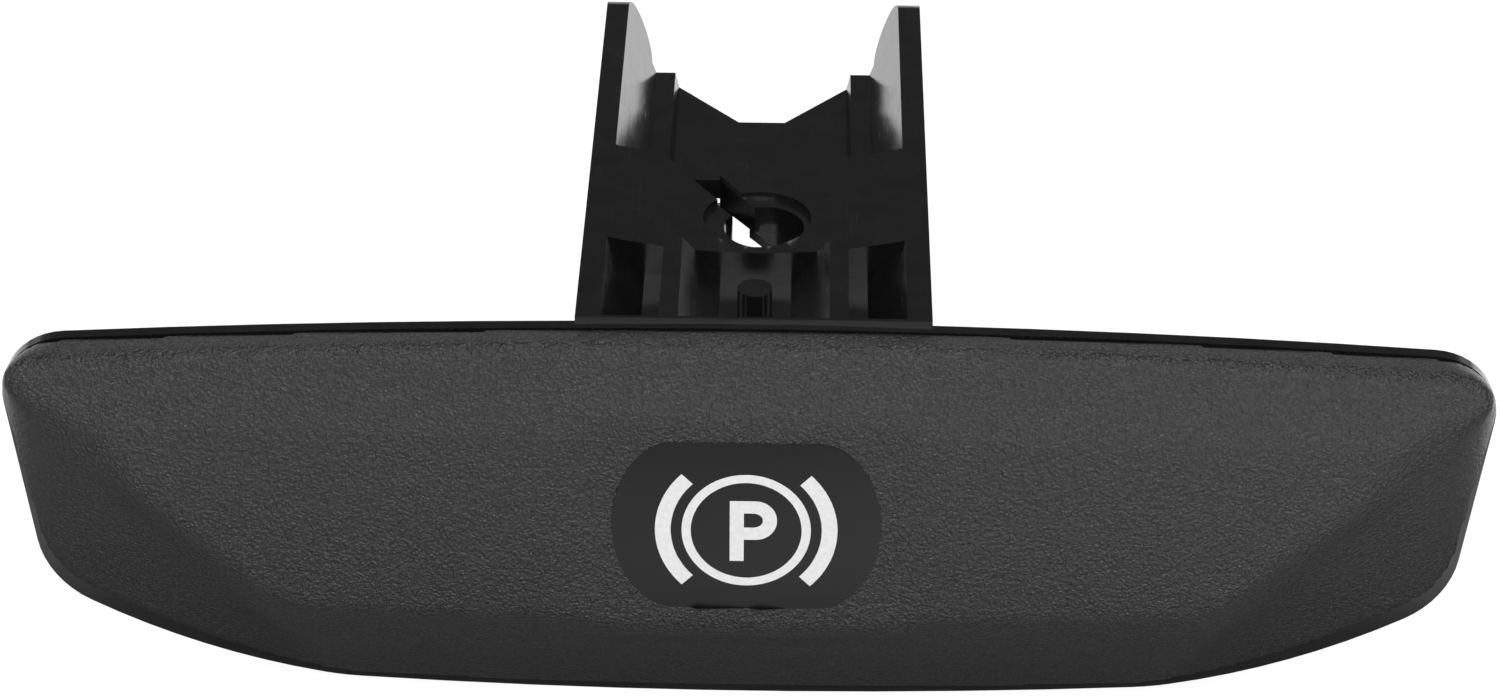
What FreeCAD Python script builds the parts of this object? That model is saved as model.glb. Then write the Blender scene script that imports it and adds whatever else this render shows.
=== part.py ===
"""Parking brake release handle: a moulded pull handle with a grained grip cover and a sign plate.

Millimetres. X runs along the grip, Y runs back from the driver along the stem, Z is up.
The origin is in the middle of the grip, on the back of its rim and level with the stem's top face.
"""
import FreeCAD, Part
import Sketcher
import math
import os

SIZES = [
    # Grip rim, seen from the driver
    ("grip_width", 103.6, "rim width at its widest, the top corners"),
    ("rim_height", 30.94, "top of the stem to the lowest point of the rim"),
    ("rim_corner_drop", 2.0, "top corners below the stem's top"),
    ("rim_end_lean", 2.2, "how far the ends lean in from top to bottom"),
    ("rim_end_drop", 21.8, "foot of the ends below the stem's top"),
    ("rim_bend_inset", 22.9, "ends of the flat part of the bottom edge, in from the widest point"),
    ("rim_bend_rise", 0.9, "ends of the flat part above the lowest point"),
    ("rim_top_radius", 745.0, "arch of the top edge"),
    ("rim_foot_radius", 460.0, "sweep of the bottom edge"),
    ("rim_side_radius", 52.0, "sweep between the bottom edge and the ends"),
    ("rim_thick", 0.9, "rim of the handle body, in front of the stem's root"),
    ("corner_radius", 4.8, "top corners of the rim"),
    ("foot_corner_radius", 6.9, "lower corners of the rim"),
    ("bend_radius", 20.0, "bends of the rim's bottom edge"),
    # Ridge between the rim and the face, which slants in from the top corners to the foot
    ("ridge_depth", 4.2, "outline of the ridge, from the back of the rim"),
    ("ridge_top_inset", 0.3, "its top corners, in from the rim's widest point"),
    ("ridge_top_drop", 2.0, "its top corners below the stem's top"),
    ("ridge_end_inset", 5.4, "its bends, in from the rim's widest point"),
    ("ridge_end_drop", 9.3, "its bends below the stem's top"),
    ("ridge_foot_inset", 19.6, "its foot corners, in from the rim's widest point"),
    ("ridge_foot_drop", 24.0, "its foot corners below the stem's top"),
    ("ridge_top_round", 1.2, "its top corners"),
    ("ridge_end_round", 20.0, "its bends"),
    ("ridge_foot_round", 8.0, "its foot corners"),
    ("ridge_foot_radius", 1300.0, "sweep of its lower edge"),
    ("ridge_side_radius", 132.0, "sweep between its lower edge and its bends"),
    # Slopes that lead from the ridge to an outline just in front of the face
    ("slope_depth", 6.4, "outline where the slopes would end"),
    ("slope_top_inset", 13.8, "its top corners, in from the rim's widest point"),
    ("slope_top_drop", 1.3, "its top corners below the stem's top"),
    ("slope_end_inset", 11.3, "its widest corners, in from the rim's widest point"),
    ("slope_end_drop", 10.3, "its widest corners below the stem's top"),
    ("slope_foot_inset", 19.8, "its foot corners, in from the rim's widest point"),
    ("slope_foot_drop", 19.2, "its foot corners below the stem's top"),
    ("slope_top_round", 3.0, "its top corners"),
    ("slope_end_round", 6.0, "its widest corners"),
    ("slope_foot_round", 6.0, "its foot corners"),
    ("slope_foot_radius", 620.0, "sweep of its lower edge"),
    ("slope_side_radius", 60.0, "sweep between its lower edge and its widest corners"),
    # Face
    ("band_depth", 3.1, "face at the top edge, from the back of the rim"),
    ("band_foot_depth", 5.05, "face where the upper band ends"),
    ("band_height", 6.4, "upper band, from the stem's top"),
    ("crown_radius", 110.0, "bulge of the face below the upper band"),
    ("crown_end_depth", 5.85, "depth of the bulge's lower end"),
    ("crown_end_drop", 24.0, "lower end of the bulge below the stem's top"),
    # Sign plate
    ("plate_width", 18.4, "sign plate, over its bulging sides"),
    ("plate_height", 13.1, "sign plate"),
    ("plate_side_radius", 9.3, "bulge of the sign plate's sides"),
    ("plate_corner", 2.0, "corner radius of the sign plate"),
    ("plate_drop", 13.37, "middle of the sign plate below the stem's top"),
    ("plate_lean", 3.4, "lean of the sign plate, its lower edge forward"),
    ("plate_thick", 0.25, "sign plate"),
    ("plate_floor", 5.2, "floor of the plate's recess, from the back of the rim"),
    ("plate_gap", 0.06, "clearance round the sign plate"),
    # Seat of the cover on the handle body
    ("spigot_inset", 2.6, "cover's wall round the spigot"),
    ("spigot_height", 1.2, "spigot of the handle body inside the cover"),
    ("spigot_gap", 0.12, "clearance round and in front of the spigot"),
    # Back of the grip
    ("back_depth", 3.4, "back of the grip behind the rim"),
    ("back_top_inset", 2.4, "slope of the back along the top"),
    ("back_end_inset", 4.0, "slope of the back at the ends"),
    ("back_foot_inset", 2.6, "slope of the back along the bottom"),
    ("scoop_inset", 13.3, "ends of the finger scoop, in from the rim's widest point"),
    ("scoop_rise", 8.2, "half height of the finger scoop"),
    ("scoop_depth", 3.0, "depth of the finger scoop"),
    ("scoop_drop", 18.6, "middle of the finger scoop below the stem's top"),
    # Stem
    ("stem_aside", 0.36, "middle of the stem, right of the middle of the grip"),
    ("stem_width", 24.36, "over the side walls"),
    ("stem_height", 9.5, "side walls"),
    ("stem_length", 46.0, "from the rim to the end of the ledges"),
    ("nose_radius", 2.5, "rounded noses of the walls, beyond the ledges"),
    ("wall_thick", 1.7, "side walls at the top"),
    # Deck with the cable seat
    ("deck_start", 10.75, "near edge of the deck"),
    ("deck_end", 23.9, "far edge of the deck"),
    ("deck_thick", 3.7, "deck at the walls"),
    ("deck_sag", 1.2, "trough of the deck in its middle"),
    ("tip_start", 3.0, "where the far edge of the right flap turns"),
    ("tip_cut", 2.82, "how far the tip of the right flap is set back"),
    ("seat_aside", 0.5, "cable seat, right of the stem's middle"),
    ("seat_place", 14.93, "middle of the cable seat behind the rim"),
    ("seat_radius", 2.87, "cable seat"),
    ("seat_floor", 0.7, "shelf under the right of the seat"),
    ("dish_place", 15.45, "middle of the shallow dish round the seat"),
    ("dish_radius", 3.87, "shallow dish round the seat"),
    ("dish_depth", 0.35, "dish below the middle of the deck"),
    ("slot_width", 2.05, "cable slot"),
    ("slot_angle", 34.8, "cable slot, turned from the stem's axis"),
    ("slot_length", 14.0, "cable slot from the middle of the seat"),
    ("guide_gap", 3.7, "between the cable guides under the deck"),
    ("guide_thick", 1.3, "cable guides"),
    ("guide_start", 12.4, "near end of the cable guides"),
    ("guide_end", 22.0, "far end of the cable guides"),
    ("guide_drop", 7.4, "lower edge of the cable guides below the stem's top"),
    # Pockets between the grip and the deck
    ("pocket_start", 0.3, "near end of the pockets"),
    ("pocket_depth", 3.1, "pockets"),
    ("pocket_floor", 1.6, "floor under the pockets"),
    ("rib_middle", 5.82, "middle of each rib from the stem's axis"),
    ("rib_thick", 1.3, "ribs"),
    ("flank_foot", 2.5, "foot of the middle pocket's flanks from the axis"),
    ("side_flank", 2.6, "slope of the outer pockets' flanks"),
    ("bulkhead", 1.4, "cross wall under the near edge of the deck"),
    ("boss_radius", 1.2, "boss in the middle pocket"),
    ("boss_place", 5.1, "boss behind the rim"),
    ("boss_top_drop", 0.6, "top of the boss below the stem's top"),
    # Open end of the channel
    ("slope_run", 2.1, "how far the inner faces slope in"),
    ("ledge_drop", 5.9, "ledges below the stem's top"),
    ("ledge_width", 1.5, "ledges"),
    ("ledge_slope", 0.3, "slope of the ledges' inner faces"),
    ("floor_drop", 7.2, "floor below the stem's top"),
    ("floor_start", 31.4, "near edge of the floor"),
    ("floor_thick", 1.6, "floor"),
    ("notch_foot", 1.78, "half width of the notch at its foot"),
    ("notch_depth", 5.55, "notch in the floor's far edge"),
    ("core_depth", 4.2, "grooves in the walls' undersides"),
    ("core_width", 1.2, "grooves in the walls' undersides"),
]

DERIVED = [
    ("rim_half", "grip_width / 2"),
    ("rim_end_half", "rim_half - rim_end_lean"),
    ("rim_bend_half", "rim_half - rim_bend_inset"),
    ("rim_bend_drop", "rim_height - rim_bend_rise"),
    ("ridge_top_half", "rim_half - ridge_top_inset"),
    ("ridge_end_half", "rim_half - ridge_end_inset"),
    ("ridge_foot_half", "rim_half - ridge_foot_inset"),
    ("slope_top_half", "rim_half - slope_top_inset"),
    ("slope_end_half", "rim_half - slope_end_inset"),
    ("slope_foot_half", "rim_half - slope_foot_inset"),
    ("scoop_half", "rim_half - scoop_inset"),
    ("crown_top", "10"),
    ("crown_front", "slope_depth + 5"),
    ("plate_half_height", "plate_height / 2"),
    ("plate_bulge", "plate_side_radius - sqrt(plate_side_radius ^ 2 - plate_half_height ^ 2)"),
    ("plate_side", "plate_width / 2 - plate_bulge"),
    ("recess_side", "plate_side + plate_gap"),
    ("recess_half_height", "plate_half_height + plate_gap"),
    ("recess_corner", "plate_corner + plate_gap"),
    ("socket_half", "rim_half - spigot_inset - 2"),
    ("socket_end_half", "rim_end_half - spigot_inset - 2"),
    ("socket_top", "rim_corner_drop + spigot_inset"),
    ("socket_end_drop", "rim_end_drop - 2 * spigot_inset"),
    ("socket_foot_half", "rim_bend_half - spigot_inset"),
    ("socket_foot", "rim_bend_drop - 1.5 * spigot_inset"),
    ("socket_depth", "spigot_height + spigot_gap"),
    ("spigot_half", "socket_half - spigot_gap"),
    ("spigot_end_half", "socket_end_half - spigot_gap"),
    ("spigot_top", "socket_top + spigot_gap"),
    ("spigot_end_drop", "socket_end_drop - spigot_gap"),
    ("spigot_foot_half", "socket_foot_half - spigot_gap"),
    ("spigot_foot", "socket_foot - spigot_gap"),
    ("back_half", "rim_half - back_end_inset"),
    ("back_end_half", "rim_end_half - back_end_inset"),
    ("back_bend_half", "rim_bend_half - back_end_inset / 2"),
    ("back_top", "rim_corner_drop + back_top_inset"),
    ("back_end_drop", "rim_end_drop - back_foot_inset / 2"),
    ("back_bend_drop", "rim_bend_drop - back_foot_inset"),
    ("scoop_round", "(scoop_rise ^ 2 + scoop_depth ^ 2) / (2 * scoop_depth)"),
    ("scoop_reach", "scoop_round - scoop_depth"),
    ("scoop_axis", "back_depth + scoop_reach"),
    ("scoop_sweep", "(scoop_half ^ 2 + scoop_depth ^ 2) / (2 * scoop_depth)"),
    ("stem_half", "stem_width / 2"),
    ("inner_half", "stem_half - wall_thick"),
    ("nose_drop", "2 * nose_radius"),
    ("reach_length", "stem_length + nose_radius"),
    ("nose_clear", "reach_length + 1"),
    ("tip_place", "deck_end - tip_cut"),
    ("slot_half", "slot_width / 2"),
    ("shelf_reach", "seat_radius + 0.5"),
    ("slot_aside", "stem_aside + seat_aside"),
    ("tip_half", "tan(slot_angle) * (tip_place - seat_place) - seat_aside"),
    ("mouth_half", "tan(slot_angle) * (deck_end - seat_place) - seat_aside"),
    ("dish_drop", "deck_sag + dish_depth"),
    ("seat_under", "deck_thick + seat_floor"),
    ("shelf_height", "seat_floor + 0.05"),
    ("trough_radius", "(inner_half ^ 2 + deck_sag ^ 2) / (2 * deck_sag)"),
    ("guide_outer", "guide_gap / 2 + guide_thick"),
    ("guide_inner", "guide_gap / 2"),
    ("rib_inner", "rib_middle - rib_thick / 2"),
    ("rib_outer", "rib_middle + rib_thick / 2"),
    ("side_foot", "inner_half - side_flank"),
    ("pocket_length", "deck_start - pocket_start"),
    ("pocket_under", "pocket_depth + pocket_floor"),
    ("bulkhead_start", "deck_start - bulkhead"),
    ("boss_height", "pocket_depth - boss_top_drop"),
    ("slope_foot", "inner_half - slope_run"),
    ("ledge_inner", "slope_foot - ledge_width"),
    ("floor_half", "ledge_inner - ledge_slope"),
    ("floor_under", "floor_drop + floor_thick"),
    ("notch_place", "stem_length - notch_depth"),
    ("core_inner", "inner_half - core_width"),
    ("channel_length", "reach_length - deck_end"),
    ("deck_length", "deck_end - deck_start"),
    ("trough_lid", "0.5"),
    ("under_start", "back_depth + pocket_floor"),
    ("under_stem", "stem_height + 1"),
    ("under_pocket", "stem_height - pocket_under"),
    ("under_deck", "stem_height - deck_thick"),
    ("under_ledge", "stem_height - ledge_drop"),
    ("guide_height", "guide_drop - deck_thick"),
    ("slot_depth", "deck_thick + 0.5"),
    ("core_top", "stem_height - core_depth"),
]


def fill_sheet(document):
    """Put every size into the sheet, the driving ones as numbers and the others as formulas."""
    sheet = document.addObject("Spreadsheet::Sheet", "Sizes")
    row = 1
    for name, value, note in SIZES:
        sheet.set(f"A{row}", str(value))
        sheet.set(f"B{row}", note)
        sheet.setAlias(f"A{row}", name)
        row += 1
    for name, formula in DERIVED:
        sheet.set(f"A{row}", "=" + formula)
        sheet.setAlias(f"A{row}", name)
        row += 1
    document.recompute()
    return sheet


doc = FreeCAD.newDocument("release_handle")
sizes = fill_sheet(doc)


def value_of(name):
    """The number behind a size; a leading minus takes it the other way, and 0 is the axis."""
    if name == "0":
        return 0.0
    if name.startswith("-"):
        return -float(sizes.get(name[1:]))
    return float(sizes.get(name))


def formula_of(name):
    """The expression that binds a value to its size."""
    if name.startswith("-"):
        return "-Sizes." + name[1:]
    return "Sizes." + name


def new_body(name):
    """A body whose label names its file."""
    body = doc.addObject("PartDesign::Body", name)
    body.Label = name
    return body


def new_sketch(body, name, role, offset="0", aside="0"):
    """An empty sketch on one of the body's origin planes, moved along the plane's normal."""
    plane = next(part for part in body.Origin.OriginFeatures if part.Role == role)
    sketch = body.newObject("Sketcher::SketchObject", name)
    sketch.AttachmentSupport = [(plane, "")]
    sketch.MapMode = "FlatFace"
    if offset != "0":
        sketch.setExpression("AttachmentOffset.Base.z", formula_of(offset))
    if aside != "0":
        sketch.setExpression("AttachmentOffset.Base.x", formula_of(aside))
    return sketch


def stem_sketch(body, name, role, offset="0"):
    """An empty sketch about the stem's own middle."""
    return new_sketch(body, name, role, offset, "stem_aside")


def pin_point(sketch, geometry, end, place):
    """Hold one end of a line or arc, or a point, at a pair of sizes."""
    for kind, name in zip(("DistanceX", "DistanceY"), place):
        if name == "0":
            axis = -2 if kind == "DistanceX" else -1
            sketch.addConstraint(Sketcher.Constraint("PointOnObject", geometry, end, axis))
            continue
        index = sketch.addConstraint(Sketcher.Constraint(kind, -1, 1, geometry, end, value_of(name)))
        sketch.setExpression(f"Constraints[{index}]", formula_of(name))


def bind_radius(sketch, geometry, name):
    """Tie an arc's or a circle's radius to its size."""
    index = sketch.addConstraint(Sketcher.Constraint("Radius", geometry, value_of(name)))
    sketch.setExpression(f"Constraints[{index}]", formula_of(name))


def edge_ways(start, finish, radius):
    """The directions in which a line or arc leaves its start and reaches its end."""
    chord = finish - start
    lean = math.asin(chord.Length / (2 * radius)) if radius else 0.0
    axis = FreeCAD.Vector(0, 0, 1)
    turns = [FreeCAD.Rotation(axis, math.degrees(angle)) for angle in (lean, -lean)]
    return [turn.multVec(chord).normalize() for turn in turns]


def add_edge(sketch, start, finish, radius=0.0):
    """Add a line, or an arc where a radius is given; returns it with its first and last end.

    A positive radius bulges left of travel, so its arc runs backwards, from finish to start.
    """
    if not radius:
        return sketch.addGeometry(Part.LineSegment(start, finish), False), 1, 2
    chord = finish - start
    towards = FreeCAD.Vector(chord.y, -chord.x, 0).normalize() * math.copysign(1, radius)
    centre = (start + finish) / 2 + towards * math.sqrt(radius ** 2 - (chord.Length / 2) ** 2)
    first, last = (finish, start) if radius > 0 else (start, finish)
    angles = [math.atan2(point.y - centre.y, point.x - centre.x) for point in (first, last)]
    circle = Part.Circle(centre, FreeCAD.Vector(0, 0, 1), abs(radius))
    arc = sketch.addGeometry(Part.ArcOfCircle(circle, *angles), False)
    return (arc, 2, 1) if radius > 0 else (arc, 1, 2)


def draw_loop(sketch, corners, arcs=None, rounds=None):
    """Draw a closed loop through the corners.

    arcs gives an edge its radius, bulging left of travel, and rounds gives a corner its radius.
    """
    arcs = arcs or {}
    rounds = rounds or {}
    count = len(corners)
    points = [FreeCAD.Vector(value_of(x), value_of(y), 0) for x, y in corners]
    starts, ends = [], []
    for index in range(count):
        radius = value_of(arcs[index]) if index in arcs else 0.0
        start, end = edge_ways(points[index], points[(index + 1) % count], radius)
        starts.append(start)
        ends.append(end)
    arrive, leave = list(points), list(points)
    for index, name in rounds.items():
        turn = ends[index - 1].getAngle(starts[index])
        reach = value_of(name) * math.tan(turn / 2)
        arrive[index] = points[index] - ends[index - 1] * reach
        leave[index] = points[index] + starts[index] * reach
    edges = []
    for index in range(count):
        radius = value_of(arcs[index]) if index in arcs else 0.0
        edges.append(add_edge(sketch, leave[index], arrive[(index + 1) % count], radius))
    for index in range(count):
        before, _, before_end = edges[index - 1]
        after, after_start, _ = edges[index]
        if index not in rounds:
            sketch.addConstraint(Sketcher.Constraint("Coincident", before, before_end, after, after_start))
            pin_point(sketch, after, after_start, corners[index])
            continue
        left_turn = ends[index - 1].cross(starts[index]).z > 0
        radius = value_of(rounds[index]) * (-1 if left_turn else 1)
        arc, arc_start, arc_end = add_edge(sketch, arrive[index], leave[index], radius)
        sketch.addConstraint(Sketcher.Constraint("Tangent", before, before_end, arc, arc_start))
        sketch.addConstraint(Sketcher.Constraint("Tangent", arc, arc_end, after, after_start))
        bind_radius(sketch, arc, rounds[index])
        corner = sketch.addGeometry(Part.Point(points[index]), True)
        pin_point(sketch, corner, 1, corners[index])
        sketch.addConstraint(Sketcher.Constraint("PointOnObject", corner, 1, before))
        sketch.addConstraint(Sketcher.Constraint("PointOnObject", corner, 1, after))
    for index, name in arcs.items():
        bind_radius(sketch, edges[index][0], name.lstrip("-"))
    return sketch


def draw_circle(sketch, place, radius):
    """Draw one circle held by its middle and radius."""
    centre = FreeCAD.Vector(value_of(place[0]), value_of(place[1]), 0)
    circle = sketch.addGeometry(Part.Circle(centre, FreeCAD.Vector(0, 0, 1), value_of(radius)), False)
    pin_point(sketch, circle, 3, place)
    bind_radius(sketch, circle, radius)
    return sketch


def extrude(body, kind, name, sketch, length=None, backwards=False, both_ways=False):
    """Pad or pocket a sketch by a size, or cut right through where no length is given."""
    feature = body.newObject("PartDesign::" + kind, name)
    feature.Profile = sketch
    if length is None:
        feature.Type = "ThroughAll"
    else:
        feature.setExpression("Length", formula_of(length))
    feature.Reversed = backwards
    if both_ways:
        feature.SideType = "Symmetric"
    return feature


def mirrored(corners):
    """A right-hand run of corners followed by the same run on the left, back to the start."""
    left = []
    for x, y in reversed(corners):
        left.append((x[1:] if x.startswith("-") else "-" + x, y))
    return corners + left


def outline(body, name, offset, sizes_of, rounds, sweeps=("rim_side_radius", "rim_foot_radius")):
    """An outline of the grip from the driver: arched top, leaning ends and a swept bottom."""
    half, top, end_half, end_drop, bend_half, bend_drop = sizes_of
    side, foot = sweeps
    run = [(half, "-" + top), (end_half, "-" + end_drop), (bend_half, "-" + bend_drop)]
    sketch = new_sketch(body, name, "XZ_Plane", offset)
    return draw_loop(sketch, mirrored(run), {1: side, 2: foot, 3: side, 5: "rim_top_radius"},
                     dict(enumerate(rounds + rounds[::-1])))


def loft(body, kind, name, first, *others):
    """Join outlines with straight sides."""
    feature = body.newObject("PartDesign::" + kind, name)
    feature.Profile = first
    feature.Sections = list(others)
    feature.Ruled = True
    return feature


RIM = ("rim_half", "rim_corner_drop", "rim_end_half", "rim_end_drop", "rim_bend_half", "rim_bend_drop")
RIM_ROUNDS = ["corner_radius", "foot_corner_radius", "bend_radius"]
RIDGE = ("ridge_top_half", "ridge_top_drop", "ridge_end_half", "ridge_end_drop", "ridge_foot_half",
         "ridge_foot_drop")
RIDGE_ROUNDS = ["ridge_top_round", "ridge_end_round", "ridge_foot_round"]
SLOPE = ("slope_top_half", "slope_top_drop", "slope_end_half", "slope_end_drop", "slope_foot_half",
         "slope_foot_drop")
SLOPE_ROUNDS = ["slope_top_round", "slope_end_round", "slope_foot_round"]
SOCKET = ("socket_half", "socket_top", "socket_end_half", "socket_end_drop", "socket_foot_half",
          "socket_foot")
SPIGOT = ("spigot_half", "spigot_top", "spigot_end_half", "spigot_end_drop", "spigot_foot_half",
          "spigot_foot")
BACK = ("back_half", "back_top", "back_end_half", "back_end_drop", "back_bend_half", "back_bend_drop")


def sign_outline(body, name, side, half_height, corner):
    """The sign's outline, flat above and below with bulging sides, on its leaning plane."""
    sketch = new_sketch(body, name, "XZ_Plane")
    lean = FreeCAD.Rotation(FreeCAD.Vector(-1, 0, 0), value_of("plate_lean"))
    sketch.AttachmentOffset = FreeCAD.Placement(FreeCAD.Vector(0, 0, 0), lean)
    sketch.setExpression("AttachmentOffset.Rotation.Angle", formula_of("plate_lean"))
    sketch.setExpression("AttachmentOffset.Base.y", formula_of("-plate_drop"))
    sketch.setExpression("AttachmentOffset.Base.z", formula_of("plate_floor"))
    corners = mirrored([(side, half_height), (side, "-" + half_height)])
    return draw_loop(sketch, corners, {0: "plate_side_radius", 2: "plate_side_radius"},
                     {index: corner for index in range(4)})


def make_grip_cover():
    """The grained front shell: a face bounded by a crease, with the sign plate's recess."""
    body = new_body("grip_cover")
    rim = outline(body, "CoverRim", "rim_thick", RIM, RIM_ROUNDS)
    ridge = outline(body, "CoverRidge", "ridge_depth", RIDGE, RIDGE_ROUNDS,
                    ("ridge_side_radius", "ridge_foot_radius"))
    slopes = outline(body, "CoverSlopes", "slope_depth", SLOPE, SLOPE_ROUNDS,
                     ("slope_side_radius", "slope_foot_radius"))
    loft(body, "AdditiveLoft", "CoverLoft", rim, ridge, slopes)
    doc.recompute()

    crown = new_sketch(body, "CoverCrown", "YZ_Plane")
    draw_loop(crown, [("-band_depth", "crown_top"), ("-band_depth", "0"),
                      ("-band_foot_depth", "-band_height"), ("-crown_end_depth", "-crown_end_drop"),
                      ("-crown_front", "-crown_end_drop"), ("-crown_front", "crown_top")],
              {2: "-crown_radius"})
    face = extrude(body, "Pocket", "CoverFaceCut", crown, both_ways=True)
    doc.recompute()

    seat = outline(body, "CoverSocket", "rim_thick", SOCKET, RIM_ROUNDS)
    extrude(body, "Pocket", "CoverSocketCut", seat, "socket_depth", backwards=True)
    plate = sign_outline(body, "CoverRecess", "recess_side", "recess_half_height", "recess_corner")
    extrude(body, "Pocket", "CoverRecessCut", plate, backwards=True)
    return body


def make_sign_plate():
    """The smooth plate that carries the sign."""
    body = new_body("sign_plate")
    sketch = sign_outline(body, "PlateOutline", "plate_side", "plate_half_height", "plate_corner")
    extrude(body, "Pad", "Plate", sketch, "plate_thick")
    return body


def add_grip_back(body):
    """The rim, the spigot that the cover sits on and the hollowed back of the grip."""
    rim = outline(body, "BodyRim", "0", RIM, RIM_ROUNDS)
    extrude(body, "Pad", "Rim", rim, "rim_thick")
    spigot = outline(body, "BodySpigot", "rim_thick", SPIGOT, RIM_ROUNDS)
    extrude(body, "Pad", "Spigot", spigot, "spigot_height")
    front = outline(body, "BackFront", "0", RIM, RIM_ROUNDS)
    rear = outline(body, "BackRear", "-back_depth", BACK, RIM_ROUNDS)
    loft(body, "AdditiveLoft", "Back", front, rear)
    doc.recompute()
    hollow = new_sketch(body, "ScoopOutline", "XY_Plane", "-scoop_drop")
    hollow.setExpression("AttachmentOffset.Base.y", "Sizes.scoop_axis")
    draw_loop(hollow, [("scoop_half", "-scoop_reach"), ("-scoop_half", "-scoop_reach")],
              {0: "scoop_sweep"})
    scoop = body.newObject("PartDesign::Groove", "FingerScoop")
    scoop.Profile = hollow
    scoop.ReferenceAxis = (hollow, ["H_Axis"])
    doc.recompute()


def add_stem(body):
    """The stem: side walls, three pockets, the deck with the cable seat, and the open channel."""
    block = stem_sketch(body, "StemSection", "XZ_Plane")
    draw_loop(block, [("-stem_half", "-stem_height"), ("stem_half", "-stem_height"),
                      ("stem_half", "0"), ("-stem_half", "0")])
    extrude(body, "Pad", "Stem", block, "reach_length", backwards=True)

    channel = stem_sketch(body, "ChannelSection", "XZ_Plane", "-reach_length")
    draw_loop(channel, mirrored([("inner_half", "0"), ("slope_foot", "-ledge_drop"),
                                 ("ledge_inner", "-ledge_drop"), ("floor_half", "-floor_drop")]))
    extrude(body, "Pocket", "Channel", channel, "channel_length", backwards=True)

    nose = new_sketch(body, "NoseOutline", "YZ_Plane")
    draw_loop(nose, [("stem_length", "trough_lid"), ("stem_length", "0"), ("reach_length", "-nose_radius"),
                     ("stem_length", "-nose_drop"), ("stem_length", "-under_stem"),
                     ("nose_clear", "-under_stem"), ("nose_clear", "trough_lid")],
              {1: "nose_radius", 2: "nose_radius"})
    extrude(body, "Pocket", "NoseCut", nose, both_ways=True)

    trough = stem_sketch(body, "TroughSection", "XZ_Plane", "-deck_end")
    draw_loop(trough, [("-inner_half", "trough_lid"), ("-inner_half", "0"), ("inner_half", "0"),
                       ("inner_half", "trough_lid")], {1: "-trough_radius"})
    extrude(body, "Pocket", "Trough", trough, "deck_length", backwards=True)

    tip = stem_sketch(body, "TipOutline", "XY_Plane")
    draw_loop(tip, [("tip_start", "deck_end"), ("-tip_half", "tip_place"), ("-mouth_half", "deck_end")])
    extrude(body, "Pocket", "TipCut", tip, "deck_thick")

    add_underside(body)
    add_pockets(body)
    add_cable_seat(body)
    doc.recompute()


def add_underside(body):
    """Hollow the stem from below: beside the ribs, under the deck and in the thick walls."""
    for name, inner, outer in (("Left", "-inner_half", "-rib_outer"), ("Middle", "-rib_inner", "rib_inner"),
                               ("Right", "rib_outer", "inner_half")):
        sketch = stem_sketch(body, f"Under{name}Outline", "XY_Plane", "-stem_height")
        draw_loop(sketch, [(inner, "under_start"), (outer, "under_start"), (outer, "bulkhead_start"),
                           (inner, "bulkhead_start")])
        extrude(body, "Pocket", f"Under{name}", sketch, "under_pocket", backwards=True)
    deck = stem_sketch(body, "UnderDeckOutline", "XY_Plane", "-stem_height")
    draw_loop(deck, [("-inner_half", "deck_start"), ("inner_half", "deck_start"),
                     ("inner_half", "deck_end"), ("-inner_half", "deck_end")])
    extrude(body, "Pocket", "UnderDeck", deck, "under_deck", backwards=True)
    opening = stem_sketch(body, "OpeningOutline", "XY_Plane", "-stem_height")
    draw_loop(opening, [("-ledge_inner", "deck_end"), ("ledge_inner", "deck_end"),
                        ("ledge_inner", "floor_start"), ("-ledge_inner", "floor_start")])
    extrude(body, "Pocket", "Opening", opening, "under_ledge", backwards=True)
    floor = stem_sketch(body, "UnderFloorSection", "XZ_Plane", "-floor_start")
    draw_loop(floor, mirrored([("floor_half", "-floor_under"), ("floor_half", "-under_stem")]))
    extrude(body, "Pocket", "UnderFloor", floor)
    for side, sign in (("Left", "-"), ("Right", "")):
        groove = stem_sketch(body, f"Groove{side}Section", "XZ_Plane", "-deck_end")
        draw_loop(groove, [(sign + "inner_half", "-under_stem"), (sign + "inner_half", "-core_top"),
                           (sign + "core_inner", "-core_top"), (sign + "core_inner", "-under_stem")])
        extrude(body, "Pocket", f"Groove{side}", groove)
    notch = stem_sketch(body, "NotchOutline", "XY_Plane", "-floor_drop")
    draw_loop(notch, mirrored([("floor_half", "stem_length"), ("notch_foot", "notch_place")]))
    extrude(body, "Pocket", "Notch", notch, "floor_thick")


def add_pockets(body):
    """The three pockets between the grip and the deck, with the boss in the middle one."""
    middle = stem_sketch(body, "MiddlePocketSection", "XZ_Plane", "-pocket_start")
    draw_loop(middle, mirrored([("rib_inner", "0"), ("flank_foot", "-pocket_depth")]))
    extrude(body, "Pocket", "MiddlePocket", middle, "pocket_length")
    for side, sign in (("Left", "-"), ("Right", "")):
        outer = stem_sketch(body, f"{side}PocketSection", "XZ_Plane", "-pocket_start")
        draw_loop(outer, [(sign + "inner_half", "0"), (sign + "side_foot", "-pocket_depth"),
                          (sign + "rib_outer", "-pocket_depth"), (sign + "rib_outer", "0")])
        extrude(body, "Pocket", f"{side}Pocket", outer, "pocket_length")
    boss = stem_sketch(body, "BossOutline", "XY_Plane", "-pocket_depth")
    draw_circle(boss, ("0", "boss_place"), "boss_radius")
    extrude(body, "Pad", "Boss", boss, "boss_height")


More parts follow.
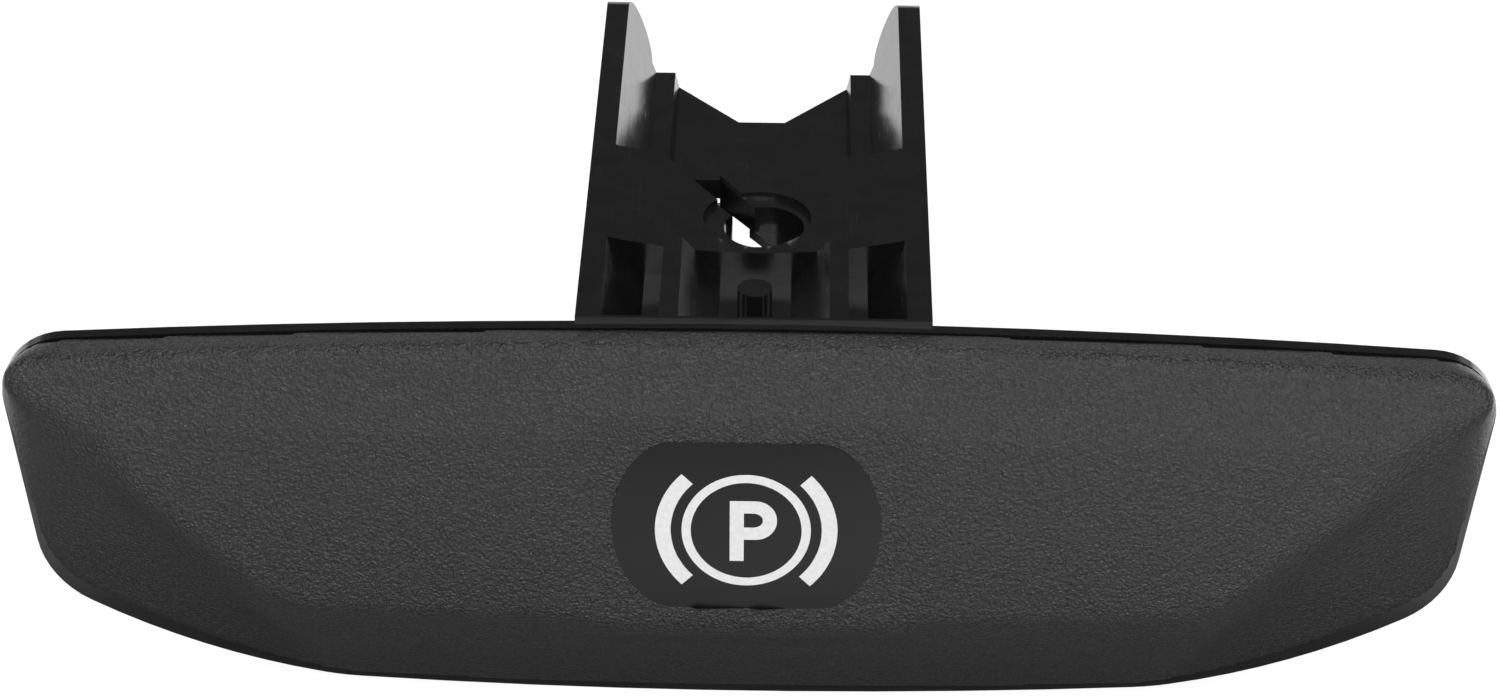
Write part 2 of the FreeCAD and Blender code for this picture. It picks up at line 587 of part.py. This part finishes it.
def add_cable_seat(body):
    """The round seat in the deck, the slanted slot into it and the guides under the deck."""
    for side, sign in (("Left", "-"), ("Right", "")):
        guide = stem_sketch(body, f"Guide{side}Outline", "XY_Plane", "-guide_drop")
        draw_loop(guide, [(sign + "guide_inner", "guide_start"), (sign + "guide_outer", "guide_start"),
                          (sign + "guide_outer", "guide_end"), (sign + "guide_inner", "guide_end")])
        extrude(body, "Pad", f"Guide{side}", guide, "guide_height")
    dish = stem_sketch(body, "DishOutline", "XY_Plane", "-dish_drop")
    draw_circle(dish, ("0", "dish_place"), "dish_radius")
    extrude(body, "Pocket", "Dish", dish, backwards=True)
    seat = stem_sketch(body, "SeatOutline", "XY_Plane")
    draw_circle(seat, ("seat_aside", "seat_place"), "seat_radius")
    extrude(body, "Pocket", "Seat", seat, "deck_thick")
    floor = seat_sketch(body, "SeatFloorOutline", "-seat_under")
    draw_loop(floor, [("slot_half", "-shelf_reach"), ("shelf_reach", "-shelf_reach"),
                      ("shelf_reach", "shelf_reach"), ("slot_half", "shelf_reach")])
    extrude(body, "Pad", "SeatFloor", floor, "shelf_height")
    slot = seat_sketch(body, "SlotOutline")
    draw_loop(slot, [("-slot_half", "0"), ("slot_half", "0"), ("slot_half", "slot_length"),
                     ("-slot_half", "slot_length")])
    extrude(body, "Pocket", "Slot", slot, "slot_depth")


def seat_sketch(body, name, offset="0"):
    """An empty sketch about the middle of the cable seat, turned to the slot."""
    sketch = new_sketch(body, name, "XY_Plane", offset, "slot_aside")
    sketch.setExpression("AttachmentOffset.Base.y", "Sizes.seat_place")
    sketch.setExpression("AttachmentOffset.Rotation.Angle", "Sizes.slot_angle")
    return sketch


def make_handle_body():
    """The polished moulding: the back of the grip and the stem in one piece."""
    body = new_body("handle_body")
    add_grip_back(body)
    add_stem(body)
    return body


def report(document):
    """Stop where a feature failed or holds no valid shape."""
    for item in document.Objects:
        if "Invalid" in item.State or "Error" in item.State:
            raise RuntimeError(f"{item.Name} failed: {item.State}")
        if item.TypeId.startswith(("PartDesign::", "Sketcher::")):
            if item.Shape.isNull() or not item.Shape.isValid():
                raise RuntimeError(f"{item.Name} has no valid shape")


def main():
    """Build every piece, check it and write its file."""
    pieces = [make_grip_cover(), make_sign_plate(), make_handle_body()]
    doc.recompute()
    report(doc)
    os.makedirs("parts", exist_ok=True)
    for piece in pieces:
        shape = piece.Shape
        if shape.isNull() or not shape.isValid() or len(shape.Solids) != 1:
            raise RuntimeError(f"{piece.Label} has no valid single solid")
    for piece in pieces:
        piece.Shape.exportStep(f"parts/{piece.Label}.step")
        box = piece.Shape.BoundBox
        print(f"{piece.Label}: {piece.Shape.Volume / 1000:.2f} cm3, "
              f"{box.XLength:.1f} x {box.YLength:.1f} x {box.ZLength:.1f} mm")


main()
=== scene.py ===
"""Dresses the parking brake release handle: grained grip, sign plate and polished stem."""

import math

import bmesh
import bpy
from mathutils import Matrix, Vector


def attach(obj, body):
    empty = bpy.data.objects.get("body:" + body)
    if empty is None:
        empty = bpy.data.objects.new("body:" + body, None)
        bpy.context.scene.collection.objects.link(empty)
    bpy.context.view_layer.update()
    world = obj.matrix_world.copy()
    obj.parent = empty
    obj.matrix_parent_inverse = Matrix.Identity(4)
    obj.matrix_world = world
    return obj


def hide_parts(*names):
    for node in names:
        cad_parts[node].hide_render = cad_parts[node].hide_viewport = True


MM = 0.001

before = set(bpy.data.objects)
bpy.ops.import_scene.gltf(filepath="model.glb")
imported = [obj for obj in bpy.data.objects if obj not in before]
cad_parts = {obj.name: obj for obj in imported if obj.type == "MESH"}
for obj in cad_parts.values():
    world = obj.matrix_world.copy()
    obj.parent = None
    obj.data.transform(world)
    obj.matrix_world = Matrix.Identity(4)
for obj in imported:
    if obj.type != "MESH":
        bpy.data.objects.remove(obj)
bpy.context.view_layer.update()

# Named lengths are in millimetres and named angles in radians

# The grip's soft shell
SOLID_MERGE = 0.002
SHELL_VOXEL = 0.42
CREASE_PASSES = 12
SOFT_AHEAD_OF = -2.3
SOFT_OVER = 1.0
FACE_AHEAD_OF = -4.0

# The polished moulding
FLAT_WITHIN = math.radians(0.5)
BODY_EDGE = 0.16
BODY_EDGE_FROM = math.radians(35)
BODY_SMOOTH_TO = math.radians(32)
FLAT_WEIGHT = 90

# The sign's film, which leans with the cover's face
SIGN_MIDDLE = Vector((0.02, -5.45, -13.37))
SIGN_LEAN = math.radians(-3.4)
ON_SIGN = Matrix.Translation(SIGN_MIDDLE * MM) @ Matrix.Rotation(math.radians(90) + SIGN_LEAN, 4, "X")
FILM_HALF_WIDTH = 9.25
FILM_HALF_HEIGHT = 6.6
FILM_THICK = 0.25
FILM_PROUD = 0.04
FILM_EDGE = 0.05
FILM_EDGE_FROM = math.radians(50)
FILM_SMOOTH_TO = math.radians(30)
LEVEL_MARGIN = 0.4
LEVEL_BLEND = 4.0

# The print, a little below the film's middle
SIGN_DROP = -0.31
PRINT_THICK = 0.02
CURVE_MERGE = 0.001
CURVE_STEPS = 16
CIRCLE_STEPS = 144
RING_OUTER = 4.44
RING_INNER = 3.81
BRACKET_OUTER = 6.27
BRACKET_INNER = 5.19
BRACKET_SPAN = math.radians(44)

# The floor, its glow as a share of full, seen straight on and as painted reflection light in what shines,
# and the sky
FLOOR_HEIGHT = -31.0
FLOOR_SIDE = 6000.0
FLOOR_GLOW = 2.0
SEEN_SHARE = 0.47
# What shines sees the floor's glow as a painted reflection, with painted light stronger to the right
PAINTED_REFLECTION_SHARE = 0.45
PAINTED_REFLECTION_SHARE_RIGHT = 0.3
SKY_STRENGTH = 0.09

# The camera at the photograph's place; the picture's size and centre are in its pixels
ELEVATION = math.radians(32.3)
AZIMUTH = math.radians(0.75)
ROLL = math.radians(0.4)
TARGET = Vector((0.36, -3.0, 0))
DISTANCE = 263.0
FOCAL_PIXELS = 3907.0
PICTURE_WIDE, PICTURE_HIGH = 1500, 696
CENTRE_X, CENTRE_Y = 752.9, 343.0
SENSOR_WIDTH = 36
CLIP_NEAR = 10.0
CLIP_FAR = 20000.0


class Socket:
    """A node output that takes part in plain arithmetic."""

    def __init__(self, material, link):
        self.material = material
        self.link = link

    def __add__(self, other):
        return self.material.math("ADD", self, other)

    def __radd__(self, other):
        return self + other

    def __sub__(self, other):
        return self.material.math("SUBTRACT", self, other)

    def __rsub__(self, other):
        return self.material.math("SUBTRACT", other, self)

    def __mul__(self, other):
        return self.material.math("MULTIPLY", self, other)

    def __rmul__(self, other):
        return self * other

    def smooth(self, low, high):
        """A soft step from 0 at low to 1 at high."""
        return self.material.node("ShaderNodeMapRange", {"interpolation_type": "SMOOTHSTEP"},
                                  {0: self, 1: low, 2: high})


class Material:
    """A named material whose nodes are made one call at a time."""

    def __init__(self, name):
        self.data = bpy.data.materials.new(name)
        self.data.use_nodes = True
        self.tree = self.data.node_tree
        self.tree.nodes.clear()
        self.place = self.node("ShaderNodeTexCoord", output="Object")

    def node(self, kind, settings=None, sockets=None, output=0):
        """Any node: its type, its settings, the values or links of its sockets, the output to use."""
        made = self.tree.nodes.new(kind)
        for key, value in (settings or {}).items():
            setattr(made, key, value)
        for key, value in (sockets or {}).items():
            if isinstance(value, Socket):
                self.tree.links.new(value.link, made.inputs[key])
            else:
                made.inputs[key].default_value = value
        return Socket(self, made.outputs[output]) if len(made.outputs) else made

    def math(self, operation, *values):
        return self.node("ShaderNodeMath", {"operation": operation}, dict(enumerate(values)))

    def mix_colour(self, share, first, second):
        return self.node("ShaderNodeMix", {"data_type": "RGBA"}, {0: share, 6: first, 7: second}, output=2)

    def per_metre(self, scale, turn=0.0):
        """Object coordinates times a scale for each axis, turned about Z."""
        return self.node("ShaderNodeMapping", {}, {"Vector": self.place, "Rotation": (0, 0, turn),
                                                   "Scale": scale})

    def millimetres(self):
        """Object coordinates in millimetres."""
        return self.per_metre((1 / MM, 1 / MM, 1 / MM))

    def axis(self, letter):
        """One object coordinate, in millimetres."""
        split = self.node("ShaderNodeSeparateXYZ", {}, {0: self.place}, output="XYZ".index(letter))
        return split * (1 / MM)

    def noise(self, vector, scale, detail=2.0, roughness=0.5):
        return self.node("ShaderNodeTexNoise", {}, {"Vector": vector, "Scale": scale, "Detail": detail,
                                                    "Roughness": roughness})

    def finish(self, colour, roughness, specular, bumps):
        """Close the material with a shader; bumps are (height, strength, distance), coarse first."""
        normal = {}
        for height, strength, distance in bumps:
            bump = {"Strength": strength, "Distance": distance, "Height": height, **normal}
            normal = {"Normal": self.node("ShaderNodeBump", {}, bump)}
        shader = self.node("ShaderNodeBsdfPrincipled", {}, {"Base Color": colour, "Roughness": roughness,
                                                            "Specular IOR Level": specular, **normal})
        self.node("ShaderNodeOutputMaterial", {}, {"Surface": shader})
        return self.data


def grey(value, warm=0.0):
    """A near-neutral colour; warm below zero leans to blue."""
    return (value * (1 + warm), value, value * (1 - warm), 1.0)


def grained_plastic():
    """Fine pebbled grain with painted shade in its pits, and a shine that varies a little."""
    made = Material("grained black plastic")
    spot = made.millimetres()
    painted_shade_pits, tips = grey(0.006, warm=-0.03), grey(0.019, warm=-0.03)
    pebble = made.node("ShaderNodeTexVoronoi", {"feature": "SMOOTH_F1"},
                       {"Vector": spot, "Scale": 3.4, "Smoothness": 0.6})
    fine = made.noise(spot, scale=5.6, roughness=0.6)
    broad = made.noise(spot, scale=0.08)
    grain = fine * 0.65 + (1 - pebble) * 0.35
    # Painted shade: the grain's pits take the darker colour, following the bump's height
    tone = made.mix_colour(grain.smooth(0.42, 0.62), painted_shade_pits, tips)
    rough = 0.31 + broad * 0.06
    grain_depth = 0.34 * MM
    return made.finish(tone, rough, specular=0.65, bumps=[(grain, 1.0, grain_depth)])


def satin_label():
    """Smooth film of the sign, with a trace of fine texture."""
    made = Material("satin black film")
    spot = made.millimetres()
    dark, light = grey(0.007, warm=-0.02), grey(0.009, warm=-0.02)
    cloud = made.noise(spot, scale=0.15)
    fleck = made.noise(spot, scale=9.0)
    tone = made.mix_colour(cloud, dark, light)
    rough = 0.42 + cloud * 0.05
    fleck_depth = 0.02 * MM
    return made.finish(tone, rough, specular=0.35, bumps=[(fleck, 0.15, fleck_depth)])


def sign_print():
    """White screen print."""
    made = Material("white print")
    thin, full = grey(0.86), grey(0.93)
    cover = made.noise(made.millimetres(), scale=3.0, detail=3.0)
    tone = made.mix_colour(cover.smooth(0.3, 0.7), thin, full)
    ink_depth = 0.01 * MM
    return made.finish(tone, roughness=0.55, specular=0.3, bumps=[(cover, 0.1, ink_depth)])


def polished_plastic():
    """Polished black moulding with flow marks and light handling scratches."""
    made = Material("polished black plastic")
    dark, light = grey(0.004, warm=-0.02), grey(0.006, warm=-0.02)
    flow = made.noise(made.per_metre((120, 60, 500)), scale=1.0, detail=3.0)
    haze = made.noise(made.millimetres(), scale=0.35, detail=3.0, roughness=0.6)
    along = made.noise(made.per_metre((9000, 240, 9000), turn=0.4), scale=1.0).smooth(0.62, 0.72)
    across = made.noise(made.per_metre((260, 8000, 8000), turn=-0.3), scale=1.0).smooth(0.64, 0.74)
    scratches = along * 0.6 + across * 0.4
    tone = made.mix_colour(haze.smooth(0.35, 0.7), dark, light)
    rough = 0.10 + haze * 0.12 + scratches * 0.18
    flow_depth, scratch_depth = 0.2 * MM, 0.01 * MM
    bumps = [(flow, 0.1, flow_depth), (scratches, 0.2, scratch_depth)]
    return made.finish(tone, rough, specular=0.7, bumps=bumps)


def pale_floor():
    """White paper with its shadow; what shines sees a painted reflection glow on it, with painted shadow
    close to the part, fading far ahead and brighter to the right.
    """
    made = Material("pale floor")
    behind = made.axis("Y")
    ahead = behind * -1.0
    # Painted shadow: the glow that shines is dark close to the part, ahead and behind, and fades far ahead
    clear_of_painted_shadow_ahead = ahead.smooth(low=9, high=20)
    painted_fade_far_ahead = 1 - 0.85 * ahead.smooth(low=40, high=100)
    clear_of_painted_shadow_behind = behind.smooth(low=14, high=30)
    # Painted light: the glow that shines grows brighter to the right
    painted_light_rightwards = made.axis("X").smooth(low=-20, high=80)
    seen = made.node("ShaderNodeLightPath", output="Is Camera Ray") * SEEN_SHARE
    painted_reflection = made.node("ShaderNodeLightPath", output="Is Glossy Ray")
    painted_reflection = painted_reflection * (clear_of_painted_shadow_ahead * painted_fade_far_ahead + clear_of_painted_shadow_behind)
    painted_reflection_glow = painted_reflection * (PAINTED_REFLECTION_SHARE + PAINTED_REFLECTION_SHARE_RIGHT * painted_light_rightwards)
    paper = made.node("ShaderNodeBsdfDiffuse", {}, {"Color": grey(0.25)})
    glow = made.node("ShaderNodeEmission", {}, {"Color": grey(1.0), "Strength": FLOOR_GLOW})
    blend = made.node("ShaderNodeMixShader", {}, {0: seen + painted_reflection_glow, 1: paper, 2: glow})
    made.node("ShaderNodeOutputMaterial", {}, {"Surface": blend})
    return made.data


def alone(piece):
    """Make one object the only selected and active one."""
    bpy.ops.object.select_all(action="DESELECT")
    piece.select_set(True)
    bpy.context.view_layer.objects.active = piece


def edit(piece, action="SELECT"):
    """Enter edit mode on one object with all of it selected, or with DESELECT none of it."""
    alone(piece)
    bpy.ops.object.mode_set(mode="EDIT")
    bpy.ops.mesh.select_all(action=action)


def edit_faces(piece, test):
    """Enter edit mode on one object with only the faces that the test accepts selected."""
    edit(piece, "DESELECT")
    mesh = bmesh.from_edit_mesh(piece.data)
    for face in mesh.faces:
        if test(face):
            face.select_set(True)
    mesh.select_flush(True)
    bmesh.update_edit_mesh(piece.data)


def apply_modifier(piece, kind, name, **settings):
    """Add one modifier, set it and apply it."""
    modifier = piece.modifiers.new(name, kind)
    for key, value in settings.items():
        setattr(modifier, key, value)
    alone(piece)
    bpy.ops.object.modifier_apply(modifier=name)


def merged_copy(node, name):
    """A copy of a CAD node with its loose triangles merged; it will stand for the node."""
    piece = bpy.data.objects.new(name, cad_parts[node].data.copy())
    bpy.context.scene.collection.objects.link(piece)
    edit(piece)
    bpy.ops.mesh.remove_doubles(threshold=SOLID_MERGE * MM)
    bpy.ops.object.mode_set(mode="OBJECT")
    return piece


def coat(piece, material):
    """Give a piece its one material."""
    piece.data.materials.clear()
    piece.data.materials.append(material)


def wear(piece, material):
    """Give a piece its one material."""
    coat(piece, material)


def clamped(value):
    """A number kept between 0 and 1."""
    return min(1.0, max(0.0, value))


def flush_with_sign(spot):
    """Where a point of the cover's face goes, in millimetres, so that the film lies level on it."""
    up = spot.z - SIGN_MIDDLE.z
    outside = math.hypot(max(0.0, abs(spot.x) - FILM_HALF_WIDTH), max(0.0, abs(up) - FILM_HALF_HEIGHT))
    near = 1 - clamped((outside - LEVEL_MARGIN) / LEVEL_BLEND)
    eased = near * near * (3 - 2 * near)
    level = SIGN_MIDDLE.y - math.tan(SIGN_LEAN) * up + FILM_PROUD
    return Vector((spot.x, spot.y + (level - spot.y) * eased, spot.z))


def soft_cover():
    """The grip's shell: remeshed and smoothed so that its creases are as soft as the real ones."""
    shell = merged_copy("grip_cover", "grip_shell")
    apply_modifier(shell, "REMESH", "even mesh", mode="VOXEL", voxel_size=SHELL_VOXEL * MM,
                   use_smooth_shade=True)
    soft = shell.vertex_groups.new(name="soft")
    for vertex in shell.data.vertices:
        spot = vertex.co / MM
        if spot.y < FACE_AHEAD_OF:
            vertex.co = flush_with_sign(spot) * MM
        soft.add([vertex.index], clamped((SOFT_AHEAD_OF - spot.y) / SOFT_OVER), "REPLACE")
    apply_modifier(shell, "SMOOTH", "soft creases", factor=0.5, iterations=CREASE_PASSES,
                   vertex_group="soft")
    bpy.ops.object.shade_smooth()
    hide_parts("grip_cover")
    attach(shell, "root")
    return shell


def crisp_body():
    """The polished moulding with finely broken edges."""
    body = merged_copy("handle_body", "polished_moulding")
    edit(body)
    bpy.ops.mesh.dissolve_limited(angle_limit=FLAT_WITHIN)
    bpy.ops.object.mode_set(mode="OBJECT")
    apply_modifier(body, "BEVEL", "broken edges", width=BODY_EDGE * MM, segments=2,
                   limit_method="ANGLE", angle_limit=BODY_EDGE_FROM)
    bpy.ops.object.shade_smooth_by_angle(angle=BODY_SMOOTH_TO)
    apply_modifier(body, "WEIGHTED_NORMAL", "flat faces", weight=FLAT_WEIGHT, keep_sharp=True)
    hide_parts("handle_body")
    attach(body, "root")
    return body


def thicken(piece, name, thickness, offset):
    """Face a flat mesh up and thicken it, upwards for an offset of 1 and downwards for -1."""
    if piece.data.polygons[0].normal.z < 0:
        piece.data.flip_normals()
    apply_modifier(piece, "SOLIDIFY", name, thickness=thickness * MM, offset=offset)


def place_print(piece):
    """Give a flat print its thickness and stand it up on the sign's film."""
    thicken(piece, "ink", PRINT_THICK, 1)
    piece.data.transform(ON_SIGN)
    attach(piece, "root")
    return piece


def flat_curve(name, runs):
    """A filled flat curve as a mesh; each run lists (place, handle before, handle after)."""
    bpy.ops.object.select_all(action="DESELECT")
    bpy.ops.curve.primitive_bezier_curve_add()
    curve = bpy.context.active_object
    curve.name = name
    curve.data.dimensions = "2D"
    curve.data.fill_mode = "BOTH"
    curve.data.resolution_u = CURVE_STEPS
    curve.data.splines.clear()
    for run in runs:
        spline = curve.data.splines.new("BEZIER")
        spline.bezier_points.add(len(run) - 1)
        spline.use_cyclic_u = True
        for point, (place, before, after) in zip(spline.bezier_points, run):
            point.handle_left_type = point.handle_right_type = "FREE"
            point.co = (place[0] * MM, place[1] * MM, 0)
            point.handle_left = ((place[0] + before[0]) * MM, (place[1] + before[1]) * MM, 0)
            point.handle_right = ((place[0] + after[0]) * MM, (place[1] + after[1]) * MM, 0)
    bpy.ops.object.convert(target="MESH")
    piece = bpy.context.active_object
    edit(piece)
    bpy.ops.mesh.remove_doubles(threshold=CURVE_MERGE * MM)
    bpy.ops.mesh.normals_make_consistent(inside=False)
    bpy.ops.object.mode_set(mode="OBJECT")
    return piece


def sign_film():
    """The plate under the print, with its rounded outline and a broken front edge."""
    wide, high = FILM_HALF_WIDTH, FILM_HALF_HEIGHT
    flat, across, upward = 0.53 * wide, 0.26 * wide, 0.55 * high
    run = [((-wide, 0), (0, -upward), (0, upward)),
           ((-flat, high), (-across, 0), (0, 0)),
           ((flat, high), (0, 0), (across, 0)),
           ((wide, 0), (0, upward), (0, -upward)),
           ((flat, -high), (across, 0), (0, 0)),
           ((-flat, -high), (0, 0), (-across, 0))]
    piece = flat_curve("sign_film", [run])
    thicken(piece, "film", FILM_THICK, -1)
    apply_modifier(piece, "BEVEL", "broken edge", width=FILM_EDGE * MM, segments=2,
                   limit_method="ANGLE", angle_limit=FILM_EDGE_FROM)
    piece.data.transform(ON_SIGN)
    bpy.ops.object.shade_smooth_by_angle(angle=FILM_SMOOTH_TO)
    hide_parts("sign_plate")
    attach(piece, "root")
    return piece


def band_of_circle(name, outer, inner, keep):
    """A flat ring, or the part of one that the test keeps, from a circle extruded inwards."""
    bpy.ops.object.select_all(action="DESELECT")
    bpy.ops.mesh.primitive_circle_add(vertices=CIRCLE_STEPS, radius=outer * MM)
    piece = bpy.context.active_object
    piece.name = name
    edit(piece)
    bpy.ops.mesh.extrude_region_move()
    bpy.ops.transform.resize(value=(inner / outer, inner / outer, 1))
    bpy.ops.object.mode_set(mode="OBJECT")
    edit_faces(piece, lambda face: not keep(face.calc_center_median()))
    bpy.ops.mesh.delete(type="FACE")
    bpy.ops.mesh.select_all(action="SELECT")
    bpy.ops.mesh.normals_make_consistent(inside=False)
    bpy.ops.object.mode_set(mode="OBJECT")
    piece.data.transform(Matrix.Translation((0, SIGN_DROP * MM, 0)))
    return place_print(piece)


def all_round(spot):
    """Every place on the ring."""
    return True


def beside(spot):
    """Within the brackets' span on either side."""
    return abs(math.atan2(spot.y, abs(spot.x))) < BRACKET_SPAN


def sharp(x, y):
    """A sharp point of a curve's run."""
    return ((x, y), (0, 0), (0, 0))


def bowl(right, top, foot, bend, reach_x, reach_y):
    """The three points of a bowl that bulges to the right and bends over its last stretch."""
    return [((right - bend, top), (0, 0), (reach_x, 0)),
            ((right, (top + foot) / 2), (0, reach_y), (0, -reach_y)),
            ((right - bend, foot), (reach_x, 0), (0, 0))]


def letter():
    """The sign's letter: a filled outline with a rounded bowl and counter."""
    left, right, stroke = -1.13, 2.11, 0.97
    top, bowl_foot, foot = 2.35 + SIGN_DROP, -0.73 + SIGN_DROP, -2.45 + SIGN_DROP
    stem = left + stroke
    bowl_bend, bowl_reach = 1.5, 0.86
    counter_bend, counter_reach_x, counter_reach_y = 0.7, 0.40, 0.34
    outer = [sharp(left, foot), sharp(left, top),
             *bowl(right, top, bowl_foot, bowl_bend, bowl_reach, bowl_reach),
             sharp(stem, bowl_foot), sharp(stem, foot)]
    inner = [sharp(stem, top - stroke),
             *bowl(right - stroke, top - stroke, bowl_foot + stroke,
                   counter_bend, counter_reach_x, counter_reach_y),
             sharp(stem, bowl_foot + stroke)]
    return place_print(flat_curve("sign_letter", [outer, inner]))


def lay_floor():
    """The paper that the part lies on."""
    bpy.ops.object.select_all(action="DESELECT")
    bpy.ops.mesh.primitive_plane_add(size=FLOOR_SIDE * MM)
    floor = bpy.context.active_object
    floor.name = "floor"
    floor.data.transform(Matrix.Translation((0, 0, FLOOR_HEIGHT * MM)))
    coat(floor, pale_floor())


def dim_sky():
    """An even white sky that fills the shadows a little."""
    world = bpy.data.worlds.new("studio")
    bpy.context.scene.world = world
    world.use_nodes = True
    sky = world.node_tree.nodes["Background"]
    sky.inputs["Color"].default_value = (1, 1, 1, 1)
    sky.inputs["Strength"].default_value = SKY_STRENGTH


def softbox(name, place, aim, size, watts, **factors):
    """One area lamp that faces a point, in millimetres; factors weaken its diffuse or mirrored light."""
    bpy.ops.object.light_add(type="AREA", location=Vector(place) * MM)
    lamp = bpy.context.active_object
    lamp.name = name
    lamp.data.shape = "RECTANGLE"
    lamp.data.size, lamp.data.size_y = size[0] * MM, size[1] * MM
    lamp.data.energy = watts
    for key, value in factors.items():
        setattr(lamp.data, key, value)
    way = Vector(aim) - Vector(place)
    lamp.rotation_mode = "QUATERNION"
    lamp.rotation_quaternion = way.to_track_quat("-Z", "Y")


def place_camera():
    """The camera that sees the part as the photograph does."""
    bpy.ops.object.camera_add()
    camera = bpy.context.active_object
    turn = Matrix.Rotation(AZIMUTH, 3, "Z") @ Matrix.Rotation(math.pi / 2 - ELEVATION, 3, "X")
    forward = turn @ Vector((0, 0, -1))
    camera.rotation_mode = "QUATERNION"
    camera.rotation_quaternion = (turn @ Matrix.Rotation(ROLL, 3, "Z")).to_quaternion()
    camera.location = (TARGET - forward * DISTANCE) * MM
    camera.data.sensor_width = SENSOR_WIDTH
    camera.data.lens = FOCAL_PIXELS / PICTURE_WIDE * SENSOR_WIDTH
    camera.data.shift_x = -(CENTRE_X - PICTURE_WIDE / 2) / PICTURE_WIDE
    camera.data.shift_y = (CENTRE_Y - PICTURE_HIGH / 2) / PICTURE_WIDE
    camera.data.clip_start = CLIP_NEAR * MM
    camera.data.clip_end = CLIP_FAR * MM
    bpy.context.scene.camera = camera


wear(soft_cover(), grained_plastic())
wear(crisp_body(), polished_plastic())
wear(sign_film(), satin_label())

ink = sign_print()
coat(band_of_circle("sign_ring", RING_OUTER, RING_INNER, all_round), ink)
coat(band_of_circle("sign_brackets", BRACKET_OUTER, BRACKET_INNER, beside), ink)
coat(letter(), ink)

lay_floor()
dim_sky()
softbox("overhead", place=(0, 100, 600), aim=(0, 0, 0), size=(800, 300), watts=2.0)
softbox("front", place=(-60, -480, 430), aim=(0, 0, -10), size=(600, 300), watts=3.5,
        specular_factor=0.1)
softbox("right glint", place=(350, -350, 495), aim=(30, 0, -5), size=(150, 150), watts=1.5,
        diffuse_factor=0.2)
softbox("backdrop", place=(0, 600, 70), aim=(0, 0, 0), size=(900, 180), watts=0.3)
place_camera()
bpy.context.scene.view_settings.view_transform = "Standard"
